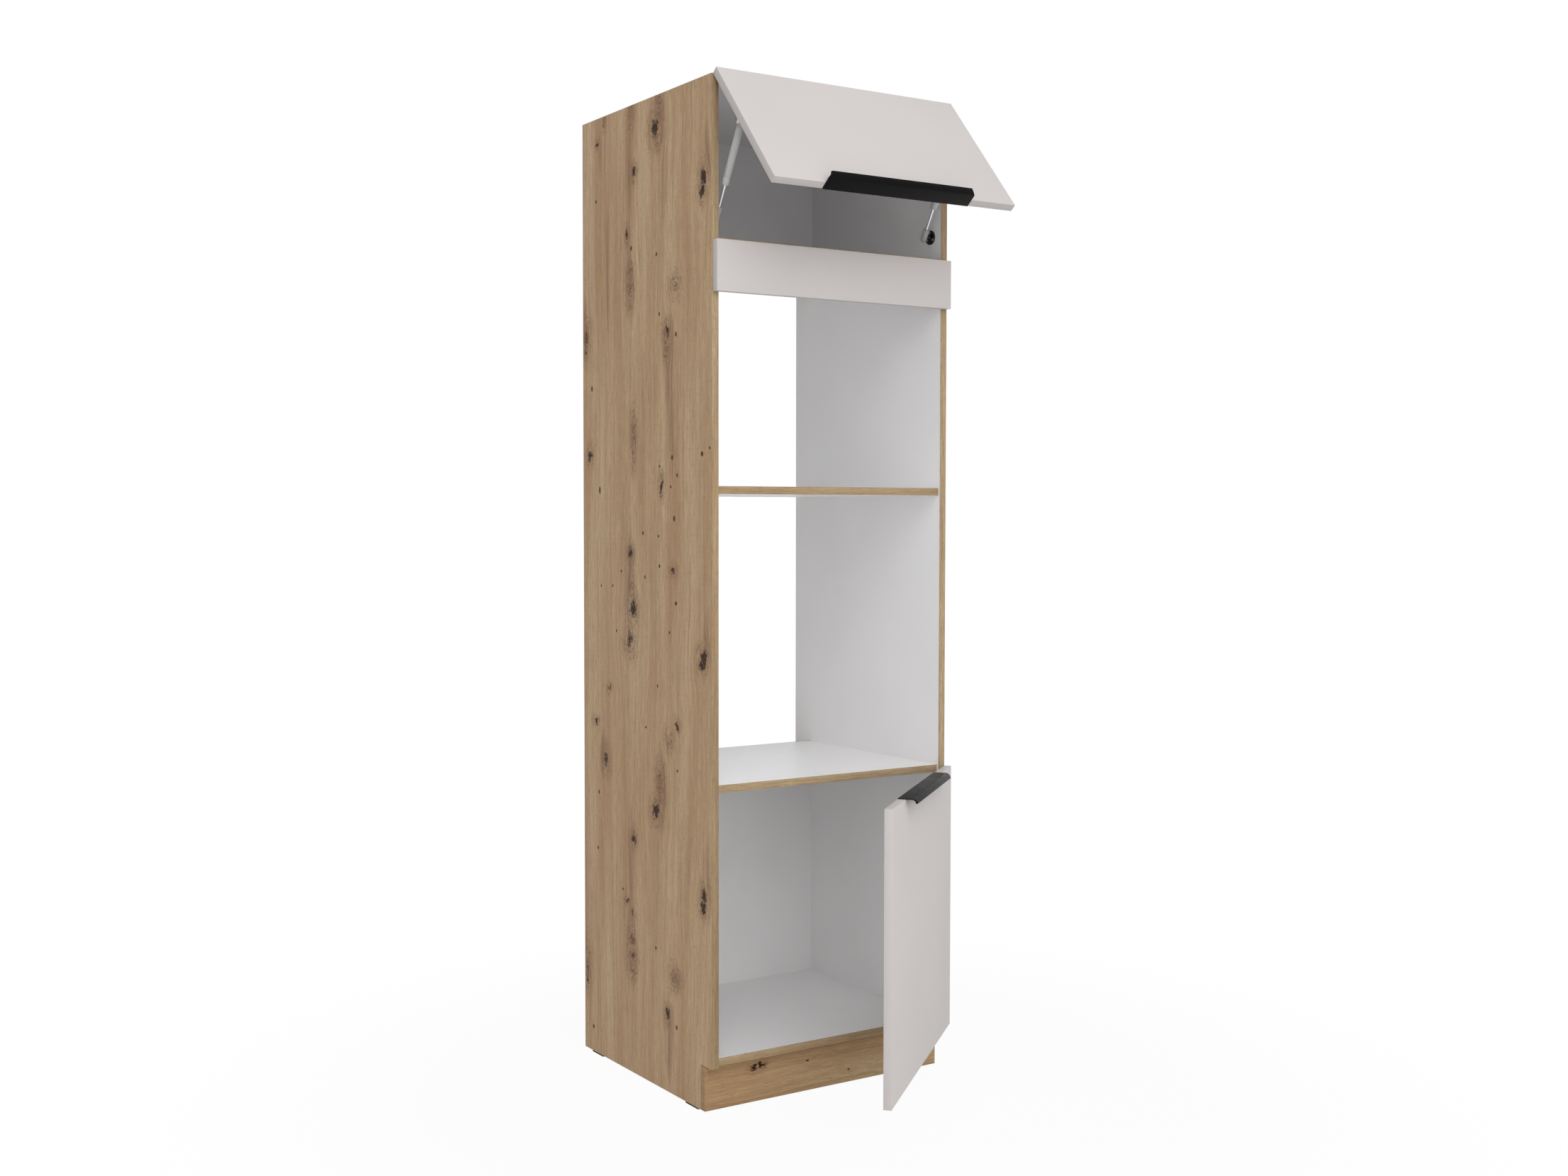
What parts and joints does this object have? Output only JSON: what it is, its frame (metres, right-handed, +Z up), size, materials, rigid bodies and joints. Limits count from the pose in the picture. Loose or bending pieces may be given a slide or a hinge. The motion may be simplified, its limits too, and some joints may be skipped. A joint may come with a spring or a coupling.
{
  "type": "appliance housing cabinet",
  "caption": "Tall fitted kitchen housing for built-in appliances: oak-decor sides, open niches, fixed fascia, hinged lower door and a lift-up top flap on gas struts.",
  "frame": {"origin": "floor level, mid-width, in the front plane of the plinth", "axes": "+X to the right seen from the front, +Y into the cabinet, +Z up"},
  "size_m": [0.6083, 0.9494, 2.1093],
  "materials": {
    "beech": "fluted beech",
    "black_handle": "matt black anodised aluminium",
    "black_plastic": "moulded",
    "cashmere_front": "matt warm light grey",
    "nickel_plate": "nickel plated",
    "oak_decor": "satin oak decor",
    "oak_white_board": "oak decor outside, white inside",
    "socket_plastic": "grey moulded plastic",
    "strut_enamel": "light grey enamel",
    "white_fibreboard": "white lacquered fibreboard",
    "white_melamine": "fine matt melamine",
    "zinc_casting": "die-cast zinc",
    "zinc_steel": "zinc plated"
  },
  "bodies": {
    "carcass": {"back_panel_lower": "white_fibreboard", "back_panel_upper": "white_fibreboard", "board_edge_bands": "oak_decor", "bottom_board": "white_melamine", "cam_bolts": "zinc_steel", "cam_locks": "zinc_casting", "door_hinge_arms": "nickel_plate", "door_hinge_plates": "nickel_plate", "fascia": "cashmere_front", "fascia_brackets": "zinc_steel", "flap_hinge_arms": "nickel_plate", "flap_hinge_plates": "nickel_plate", "floor_glides": "black_plastic", "middle_shelf": "white_melamine", "oven_deck": "white_melamine", "plinth_board": "oak_decor", "plinth_brackets": "zinc_steel", "side_edge_bands": "oak_decor", "side_panel_left": "oak_white_board", "side_panel_right": "oak_white_board", "strut_base_plates": "nickel_plate", "top_deck": "white_melamine", "top_panel": "white_melamine", "wall_brackets": "zinc_steel", "wooden_dowels": "beech"},
    "lower_door": {"door_handle": "black_handle", "door_hinge_cups": "nickel_plate", "lower_door": "cashmere_front"},
    "door_hinge_links": {"door_hinge_links": "nickel_plate"},
    "lift_flap": {"flap_handle": "black_handle", "flap_hinge_cups": "nickel_plate", "lift_flap": "cashmere_front", "strut_ball_brackets": "zinc_steel"},
    "flap_hinge_links": {"flap_hinge_links": "nickel_plate"},
    "strut_tube_left": {"strut_tube_left": "strut_enamel", "strut_upper_socket_left": "socket_plastic"},
    "strut_rod_left": {"strut_rod_left": "nickel_plate", "strut_lower_socket_left": "socket_plastic"},
    "strut_tube_right": {"strut_tube_right": "strut_enamel", "strut_upper_socket_right": "socket_plastic"},
    "strut_rod_right": {"strut_rod_right": "nickel_plate", "strut_lower_socket_right": "socket_plastic"}
  },
  "joints": [
    {"name": "door_hinge", "type": "hinge", "parent": "carcass", "child": "lower_door", "pos_m": [0.298, -0.029, 0.38825], "axis": [0, 0, 1], "range_deg": [-40, 60]},
    {"name": "door_link_pivot", "type": "hinge", "parent": "lower_door", "child": "door_hinge_links", "pos_m": [0.28762, -0.04619, 0.38825], "axis": [0, 0, 1], "range_deg": [-36.1, 24.1]},
    {"name": "flap_hinge", "type": "hinge", "parent": "carcass", "child": "lift_flap", "pos_m": [0, -0.029, 2.099], "axis": [-1, 0, 0], "range_deg": [-40, 25]},
    {"name": "flap_link_pivot", "type": "hinge", "parent": "lift_flap", "child": "flap_hinge_links", "pos_m": [0, -0.04619, 2.08862], "axis": [-1, 0, 0], "range_deg": [-15.1, 24.1]},
    {"name": "strut_pivot_left", "type": "hinge", "parent": "lift_flap", "child": "strut_tube_left", "pos_m": [-0.266, -0.0872, 2.00163], "axis": [-1, 0, 0], "range_deg": [-33.8, 54.1]},
    {"name": "strut_stroke_left", "type": "slide", "parent": "strut_tube_left", "child": "strut_rod_left", "axis": [0, 0.4799, -0.8773], "range_m": [-0.0455, 0.0285]},
    {"name": "strut_pivot_right", "type": "hinge", "parent": "lift_flap", "child": "strut_tube_right", "pos_m": [0.266, -0.0872, 2.00163], "axis": [-1, 0, 0], "range_deg": [-33.8, 54.1]},
    {"name": "strut_stroke_right", "type": "slide", "parent": "strut_tube_right", "child": "strut_rod_right", "axis": [0, 0.4799, -0.8773], "range_m": [-0.0455, 0.0285]}
  ],
  "couplings": [
    {"joint": "door_link_pivot", "follows": "door_hinge", "ratio": -0.6},
    {"joint": "flap_link_pivot", "follows": "flap_hinge", "ratio": -0.6},
    {"joint": "strut_pivot_left", "follows": "flap_hinge", "ratio": -1.35},
    {"joint": "strut_stroke_left", "follows": "flap_hinge", "m_per_rad": 0.065},
    {"joint": "strut_pivot_right", "follows": "flap_hinge", "ratio": -1.35},
    {"joint": "strut_stroke_right", "follows": "flap_hinge", "m_per_rad": 0.065}
  ]
}
